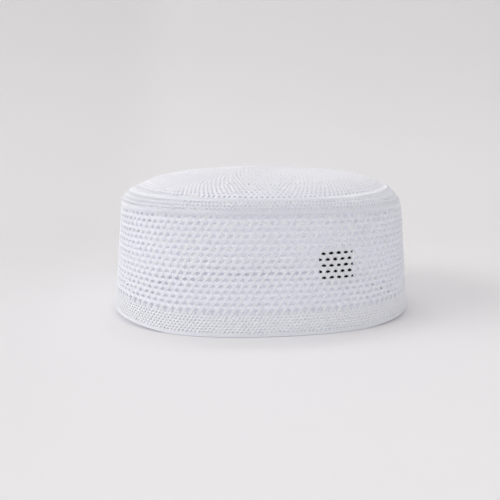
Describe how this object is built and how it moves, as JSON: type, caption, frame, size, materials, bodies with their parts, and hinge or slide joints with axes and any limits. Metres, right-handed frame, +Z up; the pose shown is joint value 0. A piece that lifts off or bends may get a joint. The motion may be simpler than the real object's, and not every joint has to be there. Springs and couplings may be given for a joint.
{
  "type": "prayer cap",
  "caption": "White knitted prayer cap: oval net wall, rounded ribbed shoulder, low domed crown, fine lower band and hem, small black label inside.",
  "frame": {"origin": "middle of the rim's bounding box, on the floor that the cap stands on", "axes": "+X along the cap's long way to the wearer's side that shows on the right of the picture, -Y to the viewer, +Z up to the crown"},
  "size_m": [0.201, 0.161, 0.0932],
  "materials": {
    "hem_knit": "matt white yarn, folded edge",
    "fine_knit": "matt white yarn, fine rounds",
    "net_knit": "matt white yarn, open net",
    "crown_knit": "matt white yarn, fine rounds",
    "label_cloth": "matt black woven tape, bare"
  },
  "bodies": {
    "root": {"hem": "hem_knit", "lower_band": "fine_knit", "mesh_wall": "net_knit", "rib_band": "fine_knit", "crown": "crown_knit", "inner_label": "label_cloth"}
  },
  "joints": []
}
